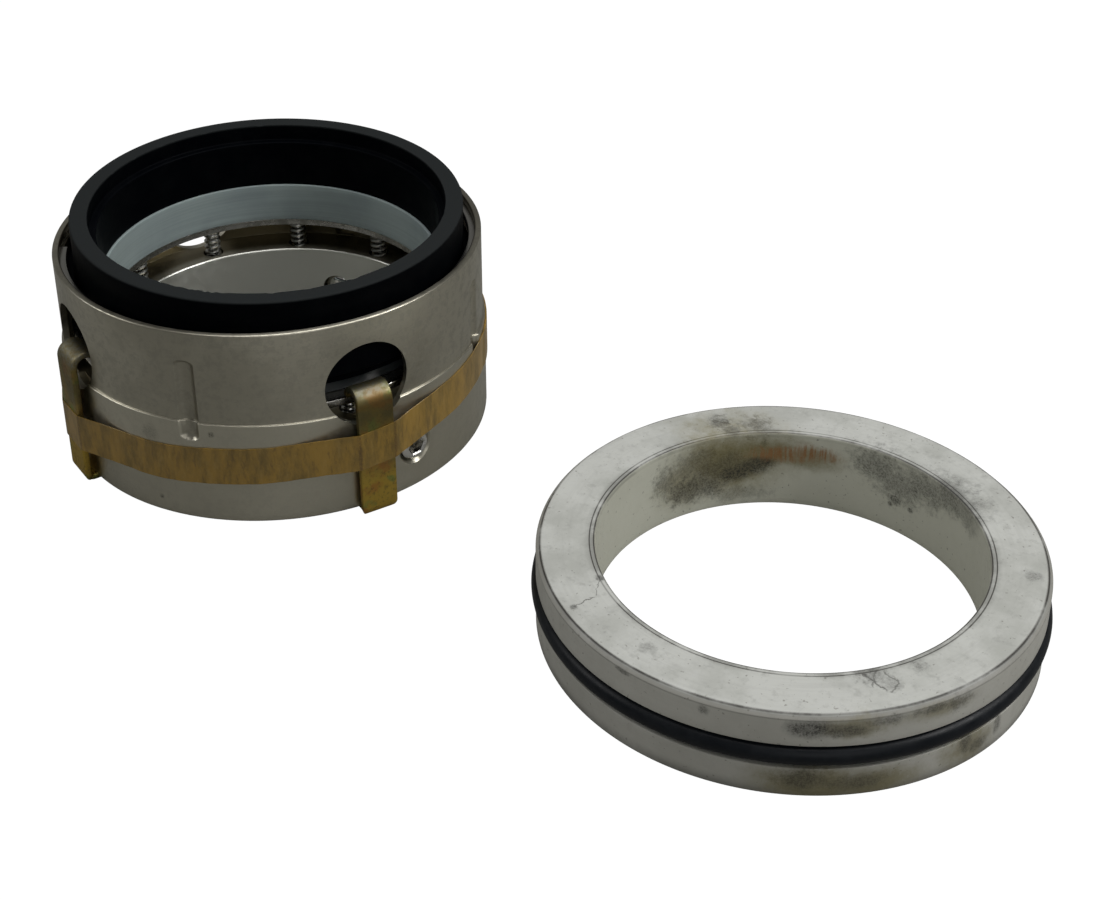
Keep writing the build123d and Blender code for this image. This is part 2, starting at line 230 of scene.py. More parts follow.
def drilled(profile, around, origin, out, up):
    """A round cutter: each (radius, distance) of the profile becomes a ring about the line that
    leaves the origin in the direction out, and the ends close at their middles."""
    out, up = np.asarray(out, float), np.asarray(up, float)
    side = np.cross(up, out)
    closed = np.vstack([[0, profile[0][1]], profile, [0, profile[-1][1]]])
    angle = np.linspace(0, 2 * math.pi, around, endpoint=False)
    across = np.cos(angle)[None, :, None] * side + np.sin(angle)[None, :, None] * up
    return np.asarray(origin) + across * closed[:, 0, None, None] + out * closed[:, 1, None, None]


def joined(name, grids):
    """One mesh from several grids that each wrap along their columns only."""
    parts = [grid_mesh(name, grid, wrap_rows=False) for grid in grids]
    work = bmesh.new()
    for part in parts:
        work.from_mesh(part)
    whole = bpy.data.meshes.new(name)
    work.to_mesh(whole)
    work.free()
    return whole


def outwards(deg):
    """The level direction at an angle about the axis."""
    return (math.cos(math.radians(deg)), math.sin(math.radians(deg)), 0.0)


def pressed(radius, height, angle, wall):
    """How far out the shell's surface lies where a dent presses it in. A dent is an upright round
    bar with flattened ball ends that bites into the wall; the lesser of the two radii is taken,
    blended over the softness so that the edge is rounded as pressed metal is. The collar's step
    is pressed in with the wall, so it carries on through the dent."""
    bar = dent_radius + wall
    step = np.maximum(radius - shell_radius, 0.0)
    best = radius
    for deg in dent_degs:
        off = apart(angle, deg)
        across = dent_axis_radius * np.sin(off)
        beyond = np.maximum(height - dent_cap, 0.0) + np.maximum(dent_cup - height, 0.0)
        depth = bar**2 - across**2 - (1.8 * beyond) ** 2
        near = (np.abs(off) < 0.3) & (depth > 0)
        bite = dent_axis_radius * np.cos(off) - np.sqrt(np.maximum(depth, 0.0)) + step
        bite = np.where(near, bite, dent_axis_radius + mm)
        blend = np.clip(0.5 + 0.5 * (bite - best) / dent_softness, 0, 1)
        best = bite * (1 - blend) + best * blend - dent_softness * blend * (1 - blend)
    return best


retainer_outline = filled_outline(
    [
        (bore_radius, 0), (collar_radius, 0), (collar_radius, collar_height),
        (shell_radius, collar_height), (shell_radius, retainer_height),
        (shell_bore_radius, retainer_height), (shell_bore_radius, snap_groove_high),
        (snap_groove_radius, snap_groove_high), (snap_groove_radius, snap_groove_low),
        (shell_bore_radius, snap_groove_low), (shell_bore_radius, deck_height),
        (bore_radius, deck_height),
    ],
    np.array([0.2, 0.5, 0.22, 0.12, 0.3, 0.3, 0.1, 0.05, 0.05, 0.1, 0.1, 0.4]) * mm,
    0.9 * mm,
)
fine_rows = [(collar_radius, height) for height in dent_foot + np.arange(-0.15, 2.4, 0.17) * mm]
fine_rows += [(shell_radius, height) for height in dent_cap + np.arange(0, 1.5, 0.17) * mm]
row_radius, row_height = retainer_outline.T
outer_rows = (row_radius > shell_radius - 1e-6) & (row_height > mm) & (row_height < retainer_height - mm)
on_face = np.isclose(row_radius, collar_radius, atol=1e-7) & (row_height > dent_foot - mm)
on_face |= np.isclose(row_radius, shell_radius, atol=1e-7) & (row_height > dent_cap - mm)
outer_points = np.vstack([retainer_outline[outer_rows & ~on_face], fine_rows])
outer_points = outer_points[np.argsort(outer_points[:, 1], kind="stable")]
first_outer = np.flatnonzero(outer_rows)[0]
retainer_outline = np.insert(retainer_outline[~outer_rows], first_outer, outer_points, axis=0)
retainer_angles = angles_with(2.0, 0.09, 61)
far_apart = np.diff(retainer_angles, append=retainer_angles[0] + 2 * math.pi) > 0.0012
retainer_angles = retainer_angles[far_apart]
radius_grid, height_grid, angle_grid = turning(retainer_outline, retainer_angles)
outer_skin = (radius_grid > shell_radius - 0.4 * mm) & (height_grid > dent_foot - 0.2 * mm)
inner_skin = (radius_grid < shell_bore_radius + 0.2 * mm) & (height_grid > deck_height + 0.2 * mm)
inner_skin &= radius_grid > shell_bore_radius - 0.3 * mm
radius_grid = np.where(outer_skin, pressed(radius_grid, height_grid, angle_grid, 0.0), radius_grid)
radius_grid = np.where(inner_skin, pressed(radius_grid, height_grid, angle_grid, shell_wall), radius_grid)
retainer_blank = grid_mesh("retainer_body", swept(radius_grid, height_grid, angle_grid))

window_profile = [(window_radius, shell_bore_radius - shell_wall), (window_radius, collar_radius + mm)]
screw_hole_profile = [
    (screw_hole_radius, bore_radius - mm),
    (screw_hole_radius, collar_radius - (countersink_radius - screw_hole_radius) * 1.15),
    (countersink_radius, collar_radius),
    (countersink_radius + mm, collar_radius + mm),
]
pocket_profile = [(pocket_radius, pocket_floor), (pocket_radius, deck_height + 0.6 * mm)]
upright = (0, 0, 1)
cutters = [
    drilled(profile, around, (0, 0, height), outwards(deg), upright)
    for profile, around, height, degs in (
        (window_profile, 96, window_height, window_degs),
        (screw_hole_profile, 48, screw_height, screw_degs),
    )
    for deg in degs
]
cutters += [
    drilled(pocket_profile, 32, spring_circle_radius * np.array(outwards(deg)), upright, (1, 0, 0))
    for deg in spring_degs
]
retainer_mesh = cut_by(retainer_blank, joined("cutters", cutters))


def feed(socket, value):
    """Gives a socket its value: a link from another socket, or a constant."""
    if isinstance(value, bpy.types.NodeSocket):
        socket.id_data.links.new(value, socket)
    else:
        socket.default_value = value


def node(kind, settings=None, tree=None, **inputs):
    """Adds a node of a kind to a tree, or to the tree of what it is linked from. Each input is a
    value or a socket; one named by a letter and a number, such as i1, is taken by its place."""
    sockets = [value for value in inputs.values() if isinstance(value, bpy.types.NodeSocket)]
    made = (tree or sockets[0].id_data).nodes.new("ShaderNode" + kind)
    for key, value in (settings or {}).items():
        setattr(made, key, value)
    for key, value in inputs.items():
        by_place = key[0] == "i" and key[1:].isdigit()
        feed(made.inputs[int(key[1:]) if by_place else key.replace("_", " ")], value)
    return made


def noise(vector, scale, detail, roughness=0.5):
    """A noise read at a point, from nought to one."""
    return node("TexNoise", Vector=vector, Scale=scale, Detail=detail, Roughness=roughness).outputs[0]


def maths(operation, a, b=0.0, c=0.0):
    """One sum of a node tree: an operation on two or three values or sockets."""
    return node("Math", {"operation": operation}, i0=a, i1=b, i2=c).outputs[0]


def times(a, b):
    """Two values or sockets multiplied."""
    return maths("MULTIPLY", a, b)


def most(first, *others):
    """The greatest of several values or sockets."""
    for other in others:
        first = maths("MAXIMUM", first, other)
    return first


def vector_maths(operation, a, b=(0, 0, 0)):
    """One sum of two vectors: a vector, or a number where the operation gives one."""
    made = node("VectorMath", {"operation": operation}, i0=a, i1=b)
    return made.outputs["Value" if operation in ("LENGTH", "DOT_PRODUCT") else "Vector"]


def ramp(value, low, high, to_high=1.0, to_low=0.0):
    """A smooth step of a value, from one level at low to another at high."""
    levels = {"Value": value, "From_Min": low, "From_Max": high, "To_Min": to_low, "To_Max": to_high}
    return node("MapRange", {"interpolation_type": "SMOOTHSTEP"}, **levels).outputs["Result"]


def blended(factor, a, b):
    """Two colours mixed by a factor; each is a socket, or its red, green and blue."""
    a, b = ((*colour, 1.0) if isinstance(colour, tuple) else colour for colour in (a, b))
    return node("Mix", {"data_type": "RGBA"}, i0=factor, i6=a, i7=b).outputs[2]


def layered(tone, *layers):
    """A colour under layers of others, each laid over the last by its own factor."""
    for factor, colour in layers:
        tone = blended(factor, tone, colour)
    return tone


def effect(name, vectors, numbers, outputs):
    """An empty shader node group with named sockets: (tree, what it is given, what it gives)."""
    tree = bpy.data.node_groups.new(name, "ShaderNodeTree")
    for key in vectors + numbers:
        kind = "NodeSocketVector" if key in vectors else "NodeSocketFloat"
        tree.interface.new_socket(key, in_out="INPUT", socket_type=kind)
    for key in outputs:
        tree.interface.new_socket(key, in_out="OUTPUT", socket_type="NodeSocketFloat")
    return tree, tree.nodes.new("NodeGroupInput").outputs, tree.nodes.new("NodeGroupOutput").inputs


def new_material(name, **constants):
    """A material with one Principled shader, whose constant sockets are set directly. Gives the
    material, the shader and the object coordinates."""
    made = bpy.data.materials.new(name)
    made.use_nodes = True
    tree = made.node_tree
    tree.nodes.clear()
    shader = tree.nodes.new("ShaderNodeBsdfPrincipled")
    out = tree.nodes.new("ShaderNodeOutputMaterial")
    tree.links.new(shader.outputs[0], out.inputs[0])
    for key, value in constants.items():
        shader.inputs[key.replace("_", " ")].default_value = value
    return made, shader, tree.nodes.new("ShaderNodeTexCoord").outputs["Object"]


def finished(shader, tone, roughness, height, distance, strength):
    """Gives the shader its colour and roughness, and its normal from a height by a Bump node."""
    bump = node("Bump", Height=height, Distance=distance, Strength=strength).outputs[0]
    for key, socket in (("Base Color", tone), ("Roughness", roughness), ("Normal", bump)):
        feed(shader.inputs[key], socket)


# Turned marks: fine rings left by the lathe. Noise is read at a point whose place along the axis and
# out from it counts many times more than its place round it, so it draws out into rings.
turned_marks, entry, leave = effect(
    "turned marks", ["Vector", "Middle"], ["Fineness", "Length"], ["Tone", "Radius"]
)
away = vector_maths("SUBTRACT", entry["Vector"], entry["Middle"])
x, y, z = node("SeparateXYZ", Vector=away).outputs
out_from = maths("SQRT", maths("ADD", times(x, x), times(y, y)))
drawn = node(
    "CombineXYZ",
    X=times(x, entry["Length"]),
    Y=times(y, entry["Length"]),
    Z=times(maths("ADD", out_from, z), entry["Fineness"]),
).outputs[0]
feed(leave["Tone"], noise(drawn, 1.0, 3.0, 0.6))
feed(leave["Radius"], out_from)


def ring_marks(vector, fineness, length, middle=(0, 0, 0)):
    """The turned marks placed in a material: their tone, and the distance from the axis."""
    values = {"Vector": vector, "Middle": middle, "Fineness": fineness, "Length": length}
    marks = node("Group", {"node_tree": turned_marks}, **values)
    return marks.outputs["Tone"], marks.outputs["Radius"]


# Smudge: a soft stain about a place, its edge broken by noise. The mask is one well inside the size
# and nought outside it.
smudge, entry, leave = effect(
    "smudge", ["Vector", "Place", "Size"], ["Grain", "Ragged", "Speckle"], ["Mask"]
)
away = vector_maths("SUBTRACT", entry["Vector"], entry["Place"])
reach = vector_maths("LENGTH", vector_maths("DIVIDE", away, entry["Size"]))
ragged = maths("SUBTRACT", noise(entry["Vector"], entry["Grain"], 8.0, 0.78), 0.5)
pushed = maths("MULTIPLY_ADD", ragged, times(entry["Ragged"], 4.0), reach)
thin = ramp(noise(entry["Vector"], 2600.0, 5.0, 0.8), 0.62, 0.40)
whole = maths("SUBTRACT", 1.0, times(thin, entry["Speckle"]))
feed(leave["Mask"], times(ramp(pushed, 1.6, 0.4), whole))


def smudges(vector, marks, speckled=0.7):
    """The strongest of several smudges, each given by place, size, grain, raggedness and strength."""
    masks = []
    for place, size, grain, ragged_edge, strength in marks:
        values = {"Place": place, "Size": size, "Grain": grain, "Ragged": ragged_edge, "Speckle": speckled}
        mark = node("Group", {"node_tree": smudge}, Vector=vector, **values)
        masks.append(times(mark.outputs[0], strength))
    return most(*masks)


def around(radius, deg, height, middle=0.0):
    """The place at a radius, an angle and a height, in metres, about an upright axis at x = middle."""
    return (middle + radius * math.cos(math.radians(deg)), radius * math.sin(math.radians(deg)), height)


stainless, shader, spot = new_material(
    "stainless_turned", Metallic=1.0, Anisotropic=0.6, Anisotropic_Rotation=0.25
)
rings, reach = ring_marks(spot, 5200.0, 60.0)
broad = noise(spot, 34.0, 5.0, 0.6)
grain = noise(spot, 520.0, 5.0, 0.75)
# Painted light: the collar's outer face is lighter than the shell above it, a painted reflection.
collar_painted_light = ramp(reach, collar_radius - 0.5 * mm, collar_radius - 0.2 * mm, 0.5)
# Painted shade: the shell's inner wall and the deck inside it are darkened, where the shell and the disc
# shade them.
shell_inside_shade = ramp(reach, shell_bore_radius + 0.25 * mm, shell_bore_radius + 0.05 * mm)
shell_inside_shade = times(shell_inside_shade, ramp(reach, bore_radius + mm, bore_radius + 3 * mm))
# Painted light: the bore is made lighter, a painted reflection of light from above.
bore_painted_light = ramp(reach, bore_radius + 0.5 * mm, bore_radius + 0.1 * mm)
specks = [
    (around(collar_radius, 296.3, 18.7 * mm), (0.5 * mm,) * 3, 900.0, 0.3, 0.8),
    (around(collar_radius, 279.1, 16.9 * mm), (1.6 * mm,) * 3, 700.0, 0.8, 0.35),
    (around(collar_radius, 280.5, 3.2 * mm), (0.45 * mm,) * 3, 900.0, 0.3, 0.7),
]
tone = layered(
    (0.47, 0.445, 0.365),
    (ramp(rings, 0.3, 0.7), (0.51, 0.485, 0.40)),
    (ramp(broad, 0.42, 0.6, 0.7), (0.33, 0.31, 0.25)),
    (ramp(grain, 0.46, 0.62, 0.5), (0.29, 0.275, 0.23)),
    (collar_painted_light, (0.68, 0.65, 0.54)),
    (shell_inside_shade, (0.20, 0.175, 0.115)),
    (bore_painted_light, (0.74, 0.74, 0.68)),
    (smudges(spot, specks), (0.05, 0.045, 0.04)),
)
finished(shader, tone, ramp(grain, 0.3, 0.75, 0.44, 0.30), rings, 0.00001, 0.15)
shown("retainer_body", retainer_mesh, stainless, "housing", "stainless_steel", "retainer")

# ---- Springs ----
# Twelve small helical springs of hard-drawn stainless wire, with closed and ground ends. Each
# stands loose in its pocket in the collar and pushes the disc up.

spring_wire = 0.72 * mm
dead_turns = 1.2
spring_turns = 15.0


def coil(low, high, phase):
    """A round wire along a helix. The height rises by one wire a turn through the dead turns and
    evenly between them; heights are clipped flat at both ends, as the ground ends are."""
    turn = np.linspace(0, spring_turns, int(spring_turns * 18) + 1)
    half = spring_wire / 2
    dead_rise = dead_turns * spring_wire
    rise = np.interp(
        turn,
        [0, dead_turns, spring_turns - dead_turns, spring_turns],
        [low.z + 0.4 * half, low.z + dead_rise, high.z - dead_rise, high.z - 0.4 * half],
    )
    angle = (turn * 2 * math.pi + phase)[:, None]
    section = np.linspace(0, 2 * math.pi, 8, endpoint=False)[None]
    thick = np.full(len(turn), half)
    thick[[0, -1]] = 0.0
    radius = (high.x - low.x) / 2 - half + thick[:, None] * np.cos(section)
    height = np.clip(rise[:, None] + thick[:, None] * np.sin(section), low.z, high.z)
    points = swept(radius, height, np.broadcast_to(angle, radius.shape))
    return points + np.array([(low.x + high.x) / 2, (low.y + high.y) / 2, 0])


spring_steel, shader, spot = new_material("spring_wire_drawn", Metallic=1.0)
streaks = noise(spot, 350.0, 3.0)
tone = blended(ramp(streaks, 0.35, 0.7), (0.62, 0.62, 0.59), (0.45, 0.44, 0.41))
finished(shader, tone, ramp(streaks, 0.3, 0.8, 0.36, 0.24), streaks, 0.00001, 0.1)
for number in range(1, 13):
    spring_name = f"spring_{number:02d}"
    coil_name = spring_name + "_coil"
    spring_low, spring_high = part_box(spring_name)
    spring_mesh = grid_mesh(coil_name, coil(spring_low, spring_high, 2.4 * number), wrap_rows=False)
    spring_piece = shown(coil_name, spring_mesh, spring_steel, "housing", "spring_wire", spring_name)
    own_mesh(spring_piece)

# ---- Disc ----
# A thin stainless washer, pressed from sheet, that spreads the springs' push on the wedge. Four
# notches in its edge pass the shell's dents. It stands a little askew, as the two setting clips
# pull it down on one side only, and so do the wedge and the face ring on it.

stack_lean = math.radians(2.2)
stack_low_side = math.radians(333.0)
stack_normal = np.array(
    [
        math.sin(stack_lean) * math.cos(stack_low_side),
        math.sin(stack_lean) * math.sin(stack_low_side),
        math.cos(stack_lean),
    ]
)
stack_x = np.array([1.0, 0, 0]) - stack_normal * stack_normal[0]
stack_x /= np.linalg.norm(stack_x)
stack_y = np.cross(stack_normal, stack_x)
stack_middle = np.array([0, 0, deck_height + 10.0 * mm])
disc_bottom = -5.6 * mm
disc_thickness = 1.5 * mm
disc_bore_radius = 32.3 * mm
disc_radius = shell_bore_radius - 0.8 * mm
notch_radius = dent_radius + shell_wall + 0.5 * mm


def stacked(radius, height, angle):
    """Points round the askew stack's own axis: a radius at an angle lies along the stack's two
    level directions, and the height is measured along its normal from its middle."""
    level = swept(radius, height, angle)
    return stack_middle + level @ np.array([stack_x, stack_y, stack_normal])


def notched(radius, full_radius, angle):
    """The radius where a rim is cut back by a round notch about each dent's axis. What lies near
    the rim moves in with it, so the rim's rounded edges stay round."""
    limit = np.full_like(radius, full_radius)
    for deg in dent_degs:
        off = apart(angle, deg)
        across = dent_axis_radius * np.sin(off)
        depth = notch_radius**2 - across**2
        bite = dent_axis_radius * np.cos(off) - np.sqrt(np.maximum(depth, 0.0))
        limit = np.where((depth > 0) & (np.abs(off) < 0.5), np.minimum(limit, bite), limit)
    return np.where(radius > full_radius - 0.6 * mm, radius + limit - full_radius, radius)


notch_angles = angles_with(1.5, 0.13, 40)
disc_outline = filled_outline(
    [
        (disc_bore_radius, disc_bottom), (disc_radius, disc_bottom),
        (disc_radius, disc_bottom + disc_thickness), (disc_bore_radius, disc_bottom + disc_thickness),
    ],
    0.22 * mm,
    1.6 * mm,
)
disc_r, disc_h, disc_a = turning(disc_outline, notch_angles)
disc_mesh = grid_mesh("disc_body", stacked(notched(disc_r, disc_radius, disc_a), disc_h, disc_a))
disc_steel, shader, spot = new_material("disc_steel_pressed", Metallic=1.0)
scratches = noise(spot, 420.0, 3.0, 0.6)
tone = blended(ramp(scratches, 0.35, 0.7), (0.50, 0.49, 0.46), (0.33, 0.32, 0.29))
finished(shader, tone, ramp(scratches, 0.3, 0.8, 0.4, 0.2), scratches, 0.00001, 0.1)
shown("disc_body", disc_mesh, disc_steel, "face_stack", "disc_steel", "disc")

# ---- Wedge ----
# The ring of white PTFE that seals on the shaft. It sits on the disc, and its taper is pushed into
# the face ring's conical seat. It is turned from rod, so its edges are only just broken. Away from its
# bore it is painted near black, as painted shade inside the shell.

wedge_bottom = disc_bottom + disc_thickness
wedge_bore_radius = 31.95 * mm
wedge_flange_radius = wedge_bore_radius + 4.05 * mm
wedge_tip_radius = wedge_bore_radius + 0.55 * mm
wedge_flange_top = wedge_bottom + 2.2 * mm
wedge_top = wedge_bottom + 8.2 * mm
wedge_outline = filled_outline(
    [
        (wedge_bore_radius, wedge_bottom), (wedge_flange_radius, wedge_bottom),
        (wedge_flange_radius, wedge_flange_top), (wedge_tip_radius, wedge_top),
        (wedge_bore_radius, wedge_top),
    ],
    np.array([0.3, 0.3, 0.3, 0.12, 0.12]) * mm,
    1.2 * mm,
)
every_degree = np.radians(np.arange(0, 360, 1.25))
wedge_mesh = grid_mesh("wedge_body", stacked(*turning(wedge_outline, every_degree)))
ptfe, shader, spot = new_material(
    "ptfe_turned", Specular_IOR_Level=0.45, Subsurface_Weight=0.08, Subsurface_Radius=(0.002,) * 3
)
rings, reach = ring_marks(spot, 2600.0, 30.0)
clouds = noise(spot, 90.0, 4.0)
# Painted shade: away from its bore the wedge is painted near black, as the shell shades it.
flange_painted_shade = ramp(reach, wedge_bore_radius + 0.6 * mm, wedge_bore_radius + 2.2 * mm, 0.93)
tone = layered(
    (0.34, 0.405, 0.40),
    (ramp(clouds, 0.35, 0.7), (0.28, 0.335, 0.34)),
    (ramp(rings, 0.35, 0.7, 0.3), (0.18, 0.215, 0.22)),
    (flange_painted_shade, (0.008, 0.009, 0.011)),
)
finished(shader, tone, ramp(clouds, 0.3, 0.7, 0.5, 0.34), rings, 0.00002, 0.3)
shown("wedge_body", wedge_mesh, ptfe, "face_stack", "white_ptfe", "wedge")

# ---- Primary ring ----
# The rotary face: a ring of dense carbon-graphite with a raised nose, lapped flat. Its shoulder is
# notched for the shell's dents, which drive it, and it rides on the wedge's taper. Carbon is
# brittle, so the nose's inner edge is chipped in a few places.

primary_bottom = wedge_flange_top + 0.6 * mm
nose_top = primary_bottom + 18.5 * mm
ledge_height = nose_top - 3.4 * mm
primary_bore_radius = 32.5 * mm
counterbore_radius = primary_bore_radius + 1.35 * mm
shoulder_radius = shell_bore_radius - 0.6 * mm
nose_radius = shoulder_radius - 1.8 * mm
shoulder_low = primary_bottom + 2.4 * mm
shoulder_high = shoulder_low + 4.8 * mm
cone_slope = (wedge_flange_radius - wedge_tip_radius) / (wedge_top - wedge_flange_top)
cone_offset = 0.1 * mm * math.hypot(1, cone_slope)
cone_start = wedge_tip_radius + (wedge_top - primary_bottom) * cone_slope + cone_offset
cone_end = wedge_top - (primary_bore_radius - wedge_tip_radius - cone_offset) / cone_slope
primary_outline = filled_outline(
    [
        (cone_start, primary_bottom), (nose_radius, primary_bottom), (nose_radius, shoulder_low),
        (shoulder_radius, shoulder_low), (shoulder_radius, shoulder_high), (nose_radius, shoulder_high),
        (nose_radius, nose_top), (counterbore_radius, nose_top), (counterbore_radius, ledge_height),
        (primary_bore_radius, ledge_height), (primary_bore_radius, cone_end),
    ],
    np.array([0.2, 0.25, 0.2, 0.3, 0.3, 0.2, 0.38, 0.12, 0.3, 0.25, 0.3]) * mm,
    0.7 * mm,
    steps=5,
)


def chipped(height, radius, angle, seed):
    """How far the nose's inner edge has lost height: a few shallow bowls, each falling off as a bell
    curve round the edge and away from it."""
    random = np.random.default_rng(seed)
    lost = np.zeros_like(height)
    chip_degs = np.concatenate([random.uniform(0, 360, 14), [290.5, 293.8, 296.0, 299.2]])
    for deg, wide, deep in zip(chip_degs, random.uniform(0.2, 0.8, 18), random.uniform(0.08, 0.24, 18)):
        off = apart(angle, deg) * counterbore_radius
        away = np.maximum(radius - counterbore_radius, 0.0)
        bell = np.exp(-((off / (wide * mm)) ** 2) - (away / (0.3 * mm)) ** 2)
        lost = np.maximum(lost, bell * deep * mm)
    on_nose = (height > nose_top - 0.4 * mm) & (radius < nose_radius - 2 * mm)
    return np.where(on_nose, height - lost, height)


nose_rings = [(counterbore_radius + step * mm, nose_top) for step in (0.9, 0.62, 0.42, 0.26)]
row_radius, row_height = primary_outline.T
inner_row = np.flatnonzero((row_height > nose_top - 1e-7) & (row_radius < counterbore_radius + mm))
primary_outline = np.insert(np.delete(primary_outline, inner_row[:-1], 0), inner_row[0], nose_rings, axis=0)
primary_r, primary_h, primary_a = turning(primary_outline, angles_with(1.0, 0.13, 40))
primary_h = chipped(primary_h, primary_r, primary_a, 4)
in_shoulder = (primary_h > shoulder_low - 1e-6) & (primary_h < shoulder_high + 1e-6)
primary_r = np.where(in_shoulder, notched(primary_r, shoulder_radius, primary_a), primary_r)
primary_mesh = grid_mesh("primary_ring_body", stacked(primary_r, primary_h, primary_a))
carbon, shader, spot = new_material("carbon_graphite_lapped", Specular_IOR_Level=0.025)
rings = ring_marks(spot, 4200.0, 35.0)[0]
pores = node("TexVoronoi", Vector=spot, Scale=2600.0).outputs["Distance"]
dust = noise(spot, 160.0, 6.0, 0.7)
from_middle = vector_maths("SUBTRACT", spot, stack_middle)
up_stack = vector_maths("DOT_PRODUCT", from_middle, stack_normal)
tone = layered(
    (0.0006, 0.0010, 0.0018),
    (ramp(dust, 0.4, 0.75), (0.002, 0.0025, 0.0032)),
    # Painted sheen: the lapped face atop the nose is lighter, standing in for its reflection.
    (ramp(up_stack, nose_top - 0.5 * mm, nose_top - 0.1 * mm), (0.0175, 0.0195, 0.020)),
    (ramp(pores, 0.0, 0.1, 0.0, 0.4), (0.004, 0.0045, 0.005)),
)
finished(shader, tone, ramp(dust, 0.35, 0.75, 0.56, 0.42), rings, 0.00001, 0.3)
shown("primary_ring_body", primary_mesh, carbon, "face_stack", "carbon_graphite", "primary_ring")

# ---- Snap ring ----
# A split ring of square spring-steel wire. It is squeezed shut to enter the shell's mouth, springs
# open in the groove, and keeps the face ring from leaving when there is no seat against it.

snap_low, snap_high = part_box("snap_ring")
snap_outer_radius = snap_groove_radius - 0.08 * mm
snap_inner_radius = shell_bore_radius - 1.3 * mm
snap_gap_middle = math.radians(217.0)
snap_gap_half = math.radians(4.5)
snap_outline = filled_outline(
    [
        (snap_inner_radius, snap_low.z), (snap_outer_radius, snap_low.z),
        (snap_outer_radius, snap_high.z), (snap_inner_radius, snap_high.z),
    ],
    0.2 * mm,
    1.0 * mm,
)
snap_angles = np.linspace(
    snap_gap_middle + snap_gap_half, snap_gap_middle + 2 * math.pi - snap_gap_half, 300
)
snap_angles = np.concatenate([snap_angles[:1], snap_angles, snap_angles[-1:]])
snap_r, snap_h, snap_a = (grid.copy() for grid in turning(snap_outline, snap_angles))
snap_r[:, [0, -1]] = (snap_inner_radius + snap_outer_radius) / 2
snap_h[:, [0, -1]] = (snap_low.z + snap_high.z) / 2
snap_mesh = grid_mesh("snap_ring_body", swept(snap_r, snap_h, snap_a), wrap_columns=False)
ring_steel, shader, spot = new_material("spring_steel_ring_bright", Metallic=1.0)
rings = ring_marks(spot, 5000.0, 25.0)[0]
tone = blended(ramp(rings, 0.35, 0.7), (0.46, 0.45, 0.42), (0.30, 0.29, 0.27))
finished(shader, tone, ramp(rings, 0.3, 0.8, 0.34, 0.2), rings, 0.00001, 0.4)
shown("snap_ring_body", snap_mesh, ring_steel, "housing", "spring_steel_ring", "snap_ring")

# ---- Set screws ----
# Three alloy set screws with hexagon sockets and oval points, screwed in through the collar. Their
# points stand just behind the bore's wall until the head is fixed on its shaft.

screw_radius = 3.1 * mm
screw_tip = bore_radius + 0.2 * mm
screw_end = collar_radius + 0.45 * mm
thread_pitch = 1.0 * mm
thread_depth = 0.38 * mm
socket_radius = 1.6 * mm / math.cos(math.radians(30))
socket_depth = 3.6 * mm

point_length = 1.7 * mm
thread_low = screw_tip + 1.8 * mm
thread_high = screw_end - 0.75 * mm


def square_to(deg):
    """The direction out at an angle, and the level direction square to it."""
    out = np.array(outwards(deg))
    return out, np.array([-out[1], out[0], 0])


def screw_points(deg):
    """A set screw about the level line at an angle. The thread's radius falls and rises as a
    triangle wave of the distance along the screw plus the share of a turn round it; it runs out
    at both ends, where the oval point and the edge's chamfer are."""
    point = [
        (screw_radius * math.sin(t), screw_tip + point_length * (1 - math.cos(t)))
        for t in np.linspace(0.1, 1.5, 12)
    ]
    shank = [(screw_radius, place) for place in np.arange(thread_low, thread_high, thread_pitch / 8)]
    head = [
        (screw_radius, screw_end - 0.7 * mm),
        (screw_radius - 0.62 * mm, screw_end - 0.06 * mm),
        (screw_radius - 0.8 * mm, screw_end),
    ]
    outline = np.array([(0, screw_tip)] + point + shank + head + [(0, screw_end)])
    angle = np.linspace(0, 2 * math.pi, 48, endpoint=False)
    radius = np.repeat(outline[:, :1], len(angle), 1)
    place = np.repeat(outline[:, 1:], len(angle), 1)
    wave = np.abs(((place / thread_pitch + angle / (2 * math.pi)) % 1.0) * 2 - 1)
    fade = np.clip((place - screw_tip - point_length) / (0.8 * mm), 0, 1)
    fade *= np.clip((screw_end - 0.5 * mm - place) / (0.6 * mm), 0, 1)
    radius = radius - thread_depth * wave * fade
    out, side = square_to(deg)
    across = np.cos(angle)[None, :, None] * side + np.sin(angle)[None, :, None] * np.array([0, 0, 1.0])
    return across * radius[..., None] + out * place[..., None] + np.array([0, 0, screw_height])


socket_profile = [
    (0.9 * mm, screw_end - socket_depth),
    (socket_radius, screw_end - socket_depth + 0.5 * mm),
    (socket_radius, screw_end - 0.25 * mm),
    (socket_radius + 0.3 * mm, screw_end + 0.05 * mm),
    (socket_radius + 0.3 * mm, screw_end + mm),
]
screw_steel, shader, spot = new_material("set_screw_oiled", Metallic=1.0)
oil = noise(spot, 260.0, 3.0, 0.6)
tone = blended(ramp(oil, 0.35, 0.7), (0.82, 0.81, 0.78), (0.55, 0.54, 0.50))
finished(shader, tone, ramp(oil, 0.3, 0.75, 0.2, 0.09), oil, 0.00001, 0.15)
for number, deg in enumerate(screw_degs, start=1):
    screw = f"set_screw_{number}"
    blank = grid_mesh(screw + "_body", screw_points(deg), wrap_rows=False)
    socket = joined("socket", [drilled(socket_profile, 6, (0, 0, screw_height), outwards(deg), upright)])
    shown(screw + "_body", cut_by(blank, socket), screw_steel, "housing", "set_screw_steel", screw)

# ---- Setting clips ----
# Two strips of zinc-plated and yellow-passivated steel. Each hooks over the disc through a window
# and under the collar, and holds the springs compressed until the seal is fitted. The strip is
# sheared, so its edges are a little rounded, and the plating is rubbed bright where it was bent.

